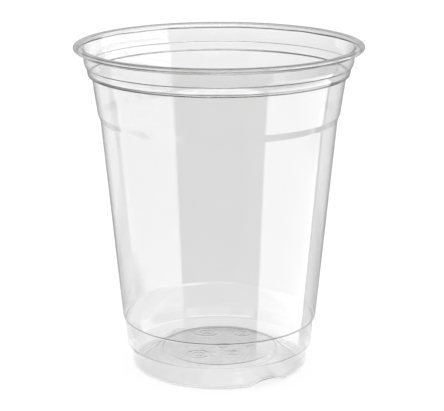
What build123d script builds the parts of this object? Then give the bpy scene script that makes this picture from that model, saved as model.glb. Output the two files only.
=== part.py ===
from build123d import *
import os

# A clear disposable cold-drink cup, thermoformed in one piece from thin sheet: a drafted wall
# with a stacking band low down and a stepped shoulder, a rolled rim, and a raised floor inside
# a standing ring with vent notches. The origin is on the axis, in the plane the cup stands on.

# Overall sizes, the height over the rolled rim and the diameters outside
height = 112.5
rim_diameter = 98.0
foot_diameter = 61.0
wall = 0.3

# Rolled rim: a strip turned out and down round a hollow, with its cut edge drawn in under it
rim_width = 3.2
crown_inner_radius = 1.1
crown_outer_radius = 0.4
lid_land = 0.2
under_width = 1.5
under_drop = 0.9

# How many short flats stand for each quarter turn of the crown, which keeps the faces few
crown_flat_count = 2

# Shoulder, from the rim down: each step is a short slope between two drafted bands
neck_depth = 5.3
neck_draft = 0.35
step_1_rise = 1.5
step_1_width = 0.65
band_1_height = 1.1
band_1_draft = 0.3
step_2_rise = 2.1
step_2_width = 1.35
grip_height = 13.1
grip_draft = 2.0
step_3_rise = 2.3
step_3_width = 0.85

# Foot and stacking band, from the table up
foot_height = 4.7
foot_corner = 0.9
ring_width = 3.0
ring_draft = 5.6
stack_rise = 3.4
stack_width = 1.95
band_height = 6.9
band_draft = 0.35
step_4_rise = 2.6
step_4_width = 1.05

# Floor: raised off the table, with a round panel pressed up in its middle
floor_rise = 3.6
panel_diameter = 40.0
panel_rise = 1.1
panel_draft = 0.7

# Vent notches across the standing ring, so that the cup doesn't seal itself to a wet table
vent_count = 2
vent_angle = -58.0
vent_width = 14.5
vent_top_width = 3.5
vent_height = 1.9
vent_radius = 1.5

# Radii of the outer face, from the table up
rim_radius = rim_diameter / 2
foot_radius = foot_diameter / 2
band_radius = foot_radius + stack_width
band_top_radius = band_radius + band_draft
body_radius = band_top_radius + step_4_width
neck_radius = rim_radius - rim_width
step_1_top_radius = neck_radius - neck_draft
step_1_radius = step_1_top_radius - step_1_width
step_2_top_radius = step_1_radius - band_1_draft
step_2_radius = step_2_top_radius - step_2_width
grip_radius = step_2_radius - grip_draft
body_top_radius = grip_radius - step_3_width

# Heights of the same points
band_z = foot_height + stack_rise
band_top_z = band_z + band_height
body_z = band_top_z + step_4_rise
step_1_top_z = height - neck_depth
step_1_z = step_1_top_z - step_1_rise
step_2_top_z = step_1_z - band_1_height
step_2_z = step_2_top_z - step_2_rise
grip_z = step_2_z - grip_height
body_top_z = grip_z - step_3_rise

# The hollow of the rolled rim: its outer side, its crown and its underside
hollow_radius = rim_radius - wall
crown_z = height - wall
land_top_z = crown_z - crown_outer_radius
land_z = land_top_z - lid_land
neck_top = (neck_radius, crown_z - crown_inner_radius)
crown_inside = (neck_radius + crown_inner_radius, crown_z)
crown_outside = (hollow_radius - crown_outer_radius, crown_z)
land_top = (hollow_radius, land_top_z)
land_foot = (hollow_radius, land_z)
cut_edge = (hollow_radius - under_width, land_z - under_drop)

# Standing ring and floor
ring_radius = foot_radius - ring_width
floor_edge_radius = ring_radius - ring_draft
panel_radius = panel_diameter / 2
panel_foot_radius = panel_radius + panel_draft
panel_z = floor_rise + panel_rise


def turn(start, end, radius):
    """The points of a quarter turn of the crown, where its short flats meet on the true arc."""
    arc = RadiusArc(start, end, radius, mode=Mode.PRIVATE)
    return [arc @ (step / crown_flat_count) for step in range(1, crown_flat_count + 1)]


def vents(skin):
    """The vent notches as solids that reach out from the axis, with a skin of sheet round them."""
    with BuildPart() as notches:
        for number in range(vent_count):
            outward = Vector(1, 0, 0).rotate(Axis.Z, vent_angle + 360 / vent_count * number)
            with BuildSketch(Plane((0, 0, 0), x_dir=outward.rotate(Axis.Z, 90), z_dir=outward)):
                with BuildLine():
                    Polyline(
                        (-vent_width / 2, -2 * wall),
                        (-vent_width / 2, 0),
                        (-vent_top_width / 2, vent_height),
                        (vent_top_width / 2, vent_height),
                        (vent_width / 2, 0),
                        (vent_width / 2, -2 * wall),
                        close=True,
                    )
                notch = make_face()
                fillet(notch.vertices().group_by(Axis.Y)[-1], vent_radius)
                if skin:
                    offset(amount=skin, kind=Kind.INTERSECTION)
            extrude(amount=band_radius)
    return notches.part


# The standing ring as a solid, cut down to what lies within a sheet's thickness of the notches
with BuildPart() as vent_bridges:
    with BuildSketch(Plane.XZ):
        with BuildLine():
            Polyline(
                (ring_radius, 0),
                (foot_radius - foot_corner, 0),
                (foot_radius, foot_corner),
                (foot_radius, floor_rise),
                (floor_edge_radius, floor_rise),
                close=True,
            )
        make_face()
        offset(amount=-wall / 2, kind=Kind.INTERSECTION)
    revolve(axis=Axis.Z)
    add(vents(skin=wall), mode=Mode.INTERSECT)

with BuildPart() as cup:
    # One turned section makes the floor, the standing ring, the wall and the rolled rim
    with BuildSketch(Plane.XZ):
        with BuildLine() as outer_face:
            Polyline(
                (0, panel_z),
                (panel_radius, panel_z),
                (panel_foot_radius, floor_rise),
                (floor_edge_radius, floor_rise),
                (ring_radius, 0),
                (foot_radius - foot_corner, 0),
                (foot_radius, foot_corner),
                (foot_radius, foot_height),
                (band_radius, band_z),
                (band_top_radius, band_top_z),
                (body_radius, body_z),
                (body_top_radius, body_top_z),
                (grip_radius, grip_z),
                (step_2_radius, step_2_z),
                (step_2_top_radius, step_2_top_z),
                (step_1_radius, step_1_z),
                (step_1_top_radius, step_1_top_z),
                neck_top,
                *turn(neck_top, crown_inside, crown_inner_radius),
                crown_outside,
                *turn(crown_outside, land_top, crown_outer_radius),
                land_foot,
                cut_edge,
            )
            offset(outer_face.wires()[0], amount=wall, side=Side.LEFT, kind=Kind.INTERSECTION)
        make_face()
    revolve(axis=Axis.Z)

    # Over each vent notch the sheet bridges the channel inside the standing ring
    add(vent_bridges.part)
    add(vents(skin=0), mode=Mode.SUBTRACT)

cup.part.label = "cup"

os.makedirs("parts", exist_ok=True)
export_step(cup.part, "parts/cup.step")
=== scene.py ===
from math import acos, cos, pi, radians, sin, sqrt, tan

import bpy
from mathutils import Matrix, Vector, noise


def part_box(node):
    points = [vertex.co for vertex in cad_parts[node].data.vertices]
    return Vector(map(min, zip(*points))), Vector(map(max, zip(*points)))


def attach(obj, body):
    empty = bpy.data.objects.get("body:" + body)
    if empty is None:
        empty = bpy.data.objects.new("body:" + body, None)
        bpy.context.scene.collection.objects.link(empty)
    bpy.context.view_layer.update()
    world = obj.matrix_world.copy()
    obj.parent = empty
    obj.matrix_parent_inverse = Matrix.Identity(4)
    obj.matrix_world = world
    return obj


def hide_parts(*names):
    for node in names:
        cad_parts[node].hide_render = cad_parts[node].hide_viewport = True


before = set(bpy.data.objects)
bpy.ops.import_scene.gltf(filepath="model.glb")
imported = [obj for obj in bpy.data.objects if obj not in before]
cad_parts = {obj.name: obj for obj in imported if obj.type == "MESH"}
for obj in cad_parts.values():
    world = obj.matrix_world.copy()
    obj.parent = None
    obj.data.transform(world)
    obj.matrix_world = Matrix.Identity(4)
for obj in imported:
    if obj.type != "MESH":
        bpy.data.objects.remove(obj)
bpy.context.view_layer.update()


# The cup: one sheet of clear PET, 0.3 mm thick, drawn warm over a mould, so that the floor, the
# standing ring, the wall and its steps are one surface. The edge of the sheet is rolled outwards
# and down into a hollow rim, which a lid snaps over.

MM = 0.001
cup_low, cup_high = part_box("cup")
CUP_HEIGHT = (cup_high[2] - cup_low[2]) / MM
RIM_RADIUS = 49.0
FOOT_RADIUS = 30.5
FOOT_HEIGHT = 4.7
FLOOR_RISE = 3.6
PANEL_RISE = 1.1
SHEET = 0.3
PANEL_HEIGHT = FLOOR_RISE + PANEL_RISE
CROWN = CUP_HEIGHT - SHEET

# Corners of the outer face, from the axis out and up to the cut edge: radius, height, fillet
outer_corners = [
    # The round panel pressed up in the middle of the floor
    (0, PANEL_HEIGHT, 0),
    (19.6, PANEL_HEIGHT, 0.5),
    (20.4, FLOOR_RISE, 0.4),
    # The floor's slope down to the standing ring, the ring, and the flare over it
    (21.9, FLOOR_RISE, 3.0),
    (27.5, 0, 1.2),
    (FOOT_RADIUS, 0, 0.9),
    (FOOT_RADIUS, FOOT_HEIGHT, 2.2),
    # The stacking band and the ledge on top of it
    (32.45, 8.1, 0.5),
    (32.85, 16.65, 0.3),
    (33.75, 17.4, 0.3),
    # The long body and the step at its top
    (40.3, 87.1, 1.0),
    (41.15, 89.4, 1.0),
    # The band that the hand holds, and the undercut step over it
    (43.1, 103.2, 0.12),
    (44.2, 102.6, 0.15),
    # The short band under the neck, and the step over it
    (44.6, 104.7, 0.4),
    (44.9, 105.75, 0.2),
    (45.25, 105.95, 0.35),
    # The neck, the crown of the rolled rim, the land for the lid, and the cut edge
    (45.5, 107.1, 0.6),
    (45.8, CROWN, 1.09),
    (RIM_RADIUS - SHEET, CROWN, 0.4),
    (RIM_RADIUS - SHEET, CROWN - 0.6, 0.3),
    (47.2, CROWN - 1.5, 0),
]

ARC_STEP = radians(7.5)


def rounded_line(corners):
    """Points along a line of (radius, height, fillet) corners, with an arc at each fillet."""
    points = [Vector(corners[0][:2])]
    for before, here, after in zip(corners, corners[1:], corners[2:]):
        corner = Vector(here[:2])
        back = (Vector(before[:2]) - corner).normalized()
        ahead = (Vector(after[:2]) - corner).normalized()
        turn = pi - acos(max(-1, min(1, back.dot(ahead))))
        reach = here[2] * tan(turn / 2)
        centre = corner + (back + ahead).normalized() * (here[2] / cos(turn / 2))
        start = corner + back * reach - centre
        way = 1 if back.x * ahead.y - back.y * ahead.x < 0 else -1
        count = max(2, round(turn / ARC_STEP))
        for number in range(count + 1):
            angle = way * turn * number / count
            arm = Vector((
                start.x * cos(angle) - start.y * sin(angle),
                start.x * sin(angle) + start.y * cos(angle),
            ))
            points.append(centre + arm)
    points.append(Vector(corners[-1][:2]))
    return points


STRAIGHT_END = 0.35
LONGEST_STRAIGHT = 5.0


def with_straights(points):
    """The same line with points near both ends of each straight, which smoothing leaves flat."""
    out = [points[0]]
    for first, last in zip(points, points[1:]):
        length = (last - first).length
        along = (last - first) / length
        if length > 3 * STRAIGHT_END:
            inner = length - 2 * STRAIGHT_END
            count = max(1, round(inner / LONGEST_STRAIGHT))
            for number in range(count + 1):
                out.append(first + along * (STRAIGHT_END + inner * number / count))
        out.append(last)
    return out


# The panel gets finer rings of points than the wall, for the marks pressed into it
RELIEF_REACH = 19.0
RELIEF_STEP = 0.45
relief_rings = range(1, round(RELIEF_REACH / RELIEF_STEP))
panel_line = [Vector((RELIEF_STEP * number, PANEL_HEIGHT)) for number in relief_rings]
turned_line = with_straights(rounded_line(outer_corners))
wall_line = [point for point in turned_line if point.x > RELIEF_REACH]
outer_line = [turned_line[0]] + panel_line + wall_line

MITRE_LIMIT = 0.5


def inner_face(points):
    """The line of the face towards the drink, a sheet's thickness from the outer face."""
    inner = []
    for number, point in enumerate(points):
        before = points[max(number - 1, 0)]
        after = points[min(number + 1, len(points) - 1)]
        first = (point - before).normalized() if number else Vector((1, 0))
        last = (after - point).normalized() if number < len(points) - 1 else first
        along = (first + last).normalized()
        side = Vector((-along.y, along.x))
        inner.append(point + side / max(MITRE_LIMIT, along.dot(last)) * SHEET)
    return inner


# Two vent notches across the standing ring, opposite each other, with soft ends
VENT_ANGLES = [radians(-57), radians(123)]
VENT_RISE = 1.65
VENT_REACH = 8.4
VENT_SLOPE = 7.2


def vent_rise(angle):
    """How far a vent notch lifts the underside of the standing ring, in mm."""
    rise = 0.0
    for vent in VENT_ANGLES:
        away = abs((angle - vent + pi) % (2 * pi) - pi) * FOOT_RADIUS
        slope = min(1, max(0, (VENT_REACH - away) / VENT_SLOPE))
        rise = max(rise, VENT_RISE * slope * slope * (3 - 2 * slope))
    return rise


# Plain oval rings and pips pressed into the panel: centre, half width and half depth
PANEL_OVALS = [
    (-4.7, 12.6, 4.6, 3.6),
    (8.2, 12.0, 3.2, 3.2),
    (-7.4, -9.7, 3.6, 3.6),
    (4.4, -8.4, 2.2, 2.4),
    (1.6, -1.7, 2.4, 1.9),
    (10.3, -1.1, 1.5, 1.5),
]
OVAL_LINES = (0.0, 0.5, 1.0)
RELIEF_RISE = 0.14
RELIEF_HALF_WIDTH = 0.6


def panel_relief(x, y):
    """How far the ovals lift the panel, in mm: a pip, a ring half way out and a ring round it."""
    rise = 0.0
    for middle_x, middle_y, half_x, half_y in PANEL_OVALS:
        across = sqrt(((x - middle_x) / half_x) ** 2 + ((y - middle_y) / half_y) ** 2)
        for oval_line in OVAL_LINES:
            away = abs(across - oval_line) * min(half_x, half_y) / RELIEF_HALF_WIDTH
            rise = max(rise, RELIEF_RISE * max(0.0, 1 - away * away))
    return rise


# The notches lift the standing ring outside the floor's edge. The lift fades out up both of its
# sides: inside its middle at the floor's height, and outside at the flare
FLOOR_EDGE = 20.5
RING_MIDDLE = 28.9

# The cut edge under the rim, outside this radius and below this height, waves up and down. The
# wave is noise on a circle whose radius is this many of its cells
EDGE_RADIUS = 46.9
EDGE_TOP = CROWN - 1.2
EDGE_WAVE = 0.16
EDGE_CELLS = 4.4
EDGE_SEED = 14.0

# Above the flare the wall runs in and out a little, in patches of this width and height
RIPPLE_START = 8
RIPPLE = 0.04
RIPPLE_WIDTH = 22
RIPPLE_HEIGHT = 40


def formed_point(radius, height, base, angle):
    """A point of the sheet in metres, with the marks and the unevenness that forming leaves.

    The base is the height of the turned outer face at this point, before anything lifts it.
    """
    side_height = FOOT_HEIGHT if radius > RING_MIDDLE else FLOOR_RISE
    if radius > FLOOR_EDGE and base < side_height:
        height += vent_rise(angle) * (1 - base / side_height)
    if radius < RELIEF_REACH:
        height += panel_relief(radius * cos(angle), radius * sin(angle))
    if radius > EDGE_RADIUS and base < EDGE_TOP:
        cell = Vector((EDGE_CELLS * cos(angle), EDGE_CELLS * sin(angle), EDGE_SEED))
        height += EDGE_WAVE * noise.noise(cell)
    if height > RIPPLE_START:
        place = Vector((cos(angle), sin(angle), 0)) * radius
        patch = (place.x / RIPPLE_WIDTH, place.y / RIPPLE_WIDTH, height / RIPPLE_HEIGHT)
        radius += RIPPLE * noise.noise(Vector(patch))
    return Vector((radius * cos(angle), radius * sin(angle), height)) * MM


COLUMNS = 204


def cup_mesh():
    """The closed sheet: its section turned round the axis, with a fan of faces at each centre."""
    outer = outer_line[1:]
    inner = inner_face(outer_line)[1:]
    section = [(point, point.y) for point in outer]
    section += [(point, base.y) for point, base in zip(reversed(inner), reversed(outer))]
    rows = len(section)
    vertices, faces = [], []
    for column in range(COLUMNS):
        angle = 2 * pi * column / COLUMNS
        for point, base in section:
            vertices.append(formed_point(point.x, point.y, base, angle))
    under = len(vertices)
    vertices.append(Vector((0, 0, PANEL_HEIGHT)) * MM)
    vertices.append(Vector((0, 0, PANEL_HEIGHT + SHEET)) * MM)
    strips = [(column * rows, (column + 1) % COLUMNS * rows) for column in range(COLUMNS)]
    for here, there in strips:
        for row in range(rows - 1):
            faces.append((here + row, there + row, there + row + 1, here + row + 1))
    for here, there in strips:
        faces.append((under, there, here))
        faces.append((under + 1, here + rows - 1, there + rows - 1))
    mesh = bpy.data.meshes.new("cup_sheet")
    mesh.from_pydata(vertices, [], faces)
    mesh.shade_smooth()
    return mesh


cup = bpy.data.objects.new("cup_sheet", cup_mesh())
bpy.context.collection.objects.link(cup)


def linear(colour):
    """An sRGB hex colour as linear RGBA."""
    parts = [int(colour[place:place + 2], 16) / 255 for place in (1, 3, 5)]
    return [
        part / 12.92 if part <= 0.04045 else ((part + 0.055) / 1.055) ** 2.4 for part in parts
    ] + [1]


def add(tree, kind, settings=None, links=None):
    """A node with its settings, and its inputs linked from other nodes' outputs."""
    node = tree.nodes.new(kind)
    for name, value in (settings or {}).items():
        if isinstance(name, int) or name in node.inputs:
            node.inputs[name].default_value = value
        else:
            setattr(node, name, value)
    for name, (source, output) in (links or {}).items():
        tree.links.new(source.outputs[output], node.inputs[name])
    return node


# Clear PET, thermoformed: it lets nearly all light through and mirrors the studio sharply, as
# glass does. Upright streaks where the sheet slid down the mould are a little duller, and its
# skin is faintly wavy. Real streaks and waves are about a millimetre across, too fine to show
# here, so both are drawn several times as coarse.
STREAK_WIDTH = 11
STREAK_LENGTH = 33
NOISE_LOW = 0.3
NOISE_HIGH = 0.7
GLOSSIEST = 0.008
DULLEST = 0.035
SKIN_WAVE_WIDTH = 7
SKIN_WAVE_DEPTH = 0.01
PET_IOR = 1.575

# The sheet's colour by the share of the cup's height: palest at the foot and on the rim, and a
# little grey at the shoulder's steps, which is painted shade that darkens the steps
PET_TINTS_AND_STEP_SHADE = [
    (0.0, "#f8f8f8"),
    (0.35, "#f3f3f3"),
    (0.92, "#f2f2f2"),
    (0.95, "#eeeeee"),
    (0.99, "#f6f6f6"),
]

pet = bpy.data.materials.new("clear_pet_thermoformed")
pet.use_nodes = True
tree = pet.node_tree
tree.nodes.clear()
place = add(tree, "ShaderNodeTexCoord")
streak_scale = [1 / (size * MM) for size in (STREAK_WIDTH, STREAK_WIDTH, STREAK_LENGTH)]
streaks = add(tree, "ShaderNodeMapping", {"Scale": streak_scale}, {"Vector": (place, "Object")})
scuffs = add(tree, "ShaderNodeTexNoise", {
    "Scale": 1.0, "Detail": 3.0, "Roughness": 0.6,
}, {"Vector": (streaks, "Vector")})
gloss = add(tree, "ShaderNodeMapRange", {
    "From Min": NOISE_LOW, "From Max": NOISE_HIGH, "To Min": GLOSSIEST, "To Max": DULLEST,
}, {"Value": (scuffs, "Fac")})
waves = add(tree, "ShaderNodeTexNoise", {
    "Scale": 1 / (SKIN_WAVE_WIDTH * MM), "Detail": 2.0,
}, {"Vector": (place, "Object")})
skin = add(tree, "ShaderNodeBump", {
    "Strength": 0.6, "Distance": SKIN_WAVE_DEPTH * MM,
}, {"Height": (waves, "Fac")})
level = add(tree, "ShaderNodeSeparateXYZ", links={"Vector": (place, "Object")})
share = add(tree, "ShaderNodeMapRange", {"From Max": CUP_HEIGHT * MM}, {"Value": (level, "Z")})
# The sheet's colour by height, with painted shade in the grey stop at the shoulder's steps
tint_and_step_shade = add(tree, "ShaderNodeValToRGB", links={"Fac": (share, "Result")})
stops = tint_and_step_shade.color_ramp.elements
for number, (stop, colour) in enumerate(PET_TINTS_AND_STEP_SHADE):
    if number >= len(stops):
        stops.new(stop)
    stops[number].position = stop
    stops[number].color = linear(colour)
clear_sheet = add(tree, "ShaderNodeBsdfPrincipled", {
    "Transmission Weight": 1.0, "IOR": PET_IOR,
}, {"Base Color": (tint_and_step_shade, "Color"), "Roughness": (gloss, "Result"), "Normal": (skin, "Normal")})
add(tree, "ShaderNodeOutputMaterial", links={"Surface": (clear_sheet, "BSDF")})
cup.data.materials.append(pet)

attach(cup, "root")
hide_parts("cup")


# The studio: an even soft white light all round, which is what lights the paper. What the glossy
# sheet mirrors is the room itself, dim, with the white sweep behind the cup, a tall bright panel
# at the right, white cards at the left and lamps above.

SWEEP_LIGHT = 1.18
ROOM_SHADE = 0.08

world = bpy.data.worlds.new("studio")
bpy.context.scene.world = world
world.use_nodes = True
world.cycles.sampling_method = "NONE"
sky = world.node_tree
sky.nodes.clear()
direction = add(sky, "ShaderNodeTexCoord")
towards = add(sky, "ShaderNodeSeparateXYZ", links={"Vector": (direction, "Generated")})
level_part = add(sky, "ShaderNodeVectorMath", {
    "operation": "MULTIPLY", 1: (1, 1, 0),
}, {0: (direction, "Generated")})
bearing = add(sky, "ShaderNodeVectorMath", {
    "operation": "NORMALIZE",
}, {0: (level_part, "Vector")})
side = add(sky, "ShaderNodeSeparateXYZ", links={"Vector": (bearing, "Vector")})

# Each part of the room has a strength and soft edges, and covers what stands before it in the
# list. An edge is an axis, the value where the light ends and the value where it is full. The
# axes of `side` are those of the bearing alone, and those of `towards` also count its height.
room_lights = [
    # A white table low at the left
    (0.7, [(side, "X", -0.66, -0.72), (towards, "Z", -0.10, -0.45)]),
    # The sweep behind the cup, up to the horizon and a little over it in the middle
    (0.95, [(side, "Y", 0.50, 0.56), (towards, "Z", 0.05, -0.03)]),
    (0.95, [(side, "Y", 0.90, 0.96), (towards, "Z", -0.03, 0.05)]),
    # The sweep's middle and foot are in shade, which draws the cup's grey outline
    (0.45, [(side, "Y", 0.76, 0.98)]),
    (0.6, [(side, "Y", 0.50, 0.56), (towards, "Z", -0.315, -0.345)]),
    # The lower part of the panel at the right
    (2.3, [
        (side, "X", 0.70, 0.74), (side, "Y", 0.50, 0.44),
        (towards, "Z", -0.24, -0.36), (towards, "Z", -0.64, -0.43),
    ]),
    # The dark gap under the sweep, and the dark under everything
    (0.03, [(side, "Y", 0.50, 0.56), (towards, "Z", -0.42, -0.52)]),
    (0.02, [(towards, "Z", -0.545, -0.64)]),
    # A pale ceiling over the middle and the right
    (1.0, [(towards, "X", -0.35, -0.15), (towards, "Z", 0.42, 0.62)]),
    # A white card low at the left front
    (0.8, [(towards, "X", -0.38, -0.50), (side, "Y", 0.1, -0.2), (towards, "Z", -0.62, -0.72)]),
    # A lamp above, to the right
    (2.5, [(towards, "X", 0.12, 0.30), (side, "Y", 0.48, 0.40), (towards, "Z", 0.80, 0.86)]),
    # A lamp in front, above the camera
    (3.5, [(side, "Y", -0.60, -0.80), (towards, "Z", 0.40, 0.46), (towards, "Z", 0.64, 0.57)]),
    # The upper part of the panel at the right
    (2.3, [
        (side, "X", 0.70, 0.74), (side, "Y", 0.56, 0.52),
        (towards, "Z", -0.22, -0.18), (towards, "Z", 0.42, 0.30),
    ]),
]
room = None
for light, edges in room_lights:
    cover = None
    for source, axis, dark, lit in edges:
        edge = add(sky, "ShaderNodeMapRange", {
            "interpolation_type": "SMOOTHSTEP", "From Min": dark, "From Max": lit,
        }, {"Value": (source, axis)})
        if cover:
            edge = add(sky, "ShaderNodeMath", {
                "operation": "MULTIPLY",
            }, {0: (cover, 0), 1: (edge, 0)})
        cover = edge
    behind = {"To Min": (room, 0)} if room else {}
    room = add(sky, "ShaderNodeMapRange", {
        "To Min": ROOM_SHADE, "To Max": light,
    }, {"Value": (cover, 0), **behind})

# The paper is lit by the even light, and whatever the sheet mirrors or lets through is the room
path = add(sky, "ShaderNodeLightPath")
mirrored = add(sky, "ShaderNodeMath", {
    "operation": "LESS_THAN", 1: 0.5,
}, {0: (path, "Diffuse Depth")})
strength = add(sky, "ShaderNodeMapRange", {"To Min": SWEEP_LIGHT}, {
    "Value": (mirrored, "Value"), "To Max": (room, "Result"),
})
studio = add(sky, "ShaderNodeBackground", {
    "Color": [1, 1, 1, 1],
}, {"Strength": (strength, "Result")})
add(sky, "ShaderNodeOutputWorld", links={"Surface": (studio, "Background")})


# The floor: a wide sheet of matt white paper, which runs out of view on all sides. The cup's
# mirror images show it only close to the foot, and the room beyond that.

PAPER_SIZE = 8.0
PAPER_FULL = 45
PAPER_GONE = 65

bpy.ops.mesh.primitive_plane_add(size=PAPER_SIZE)
paper = bpy.context.object
paper.name = "paper_floor"

# White paper, uncoated: it is matt, so it spreads the light evenly and shows no highlight
white = bpy.data.materials.new("white_paper")
white.use_nodes = True
tree = white.node_tree
tree.nodes.clear()
sheet = add(tree, "ShaderNodeBsdfDiffuse", {"Color": linear("#f4f4f4")})
clear = add(tree, "ShaderNodeBsdfTransparent")
path = add(tree, "ShaderNodeLightPath")
bounced = add(tree, "ShaderNodeMath", {
    "operation": "GREATER_THAN", 1: 0.5,
}, {0: (path, "Glossy Depth")})
unscattered = add(tree, "ShaderNodeMath", {
    "operation": "LESS_THAN", 1: 0.5,
}, {0: (path, "Diffuse Depth")})
in_mirror = add(tree, "ShaderNodeMath", {
    "operation": "MULTIPLY",
}, {0: (bounced, "Value"), 1: (unscattered, "Value")})
spot = add(tree, "ShaderNodeTexCoord")
from_axis = add(tree, "ShaderNodeVectorMath", {"operation": "LENGTH"}, {0: (spot, "Object")})
away = add(tree, "ShaderNodeMapRange", {
    "From Min": PAPER_FULL * MM, "From Max": PAPER_GONE * MM,
}, {"Value": (from_axis, "Value"), "To Max": (in_mirror, "Value")})
surface = add(tree, "ShaderNodeMixShader", links={
    0: (away, "Result"), 1: (sheet, "BSDF"), 2: (clear, "BSDF"),
})
add(tree, "ShaderNodeOutputMaterial", links={"Surface": (surface, "Shader")})
paper.data.materials.append(white)


# The camera: where the photograph was taken from, half a metre away and a little above the rim.
# Its place and lens were fitted to the cup's rings, and the shift sets the cup a little left.

CAMERA_DISTANCE = 0.522
CAMERA_HEIGHT = 0.1989
CAMERA_PITCH = radians(15.31)
CAMERA_ROLL = radians(0.1)
SENSOR_WIDTH = 36.0
PHOTO_WIDTH_PIXELS = 444
FOCAL_PIXELS = 1565.0
SHIFT_PIXELS = 3.5

lens = bpy.data.cameras.new("camera")
lens.sensor_width = SENSOR_WIDTH
lens.lens = FOCAL_PIXELS * SENSOR_WIDTH / PHOTO_WIDTH_PIXELS
lens.shift_x = SHIFT_PIXELS / PHOTO_WIDTH_PIXELS
camera = bpy.data.objects.new("camera", lens)
camera.location = (0, -CAMERA_DISTANCE, CAMERA_HEIGHT)
camera.rotation_euler = (pi / 2 - CAMERA_PITCH, CAMERA_ROLL, 0)
bpy.context.collection.objects.link(camera)
scene = bpy.context.scene
scene.camera = camera

# The white floor stays white, light is followed through many faces of the clear sheet, and its
# mirror images stay sharp
scene.view_settings.view_transform = "Standard"
scene.cycles.max_bounces = 32
scene.cycles.transmission_bounces = 32
scene.cycles.glossy_bounces = 12
scene.cycles.blur_glossy = 0.0
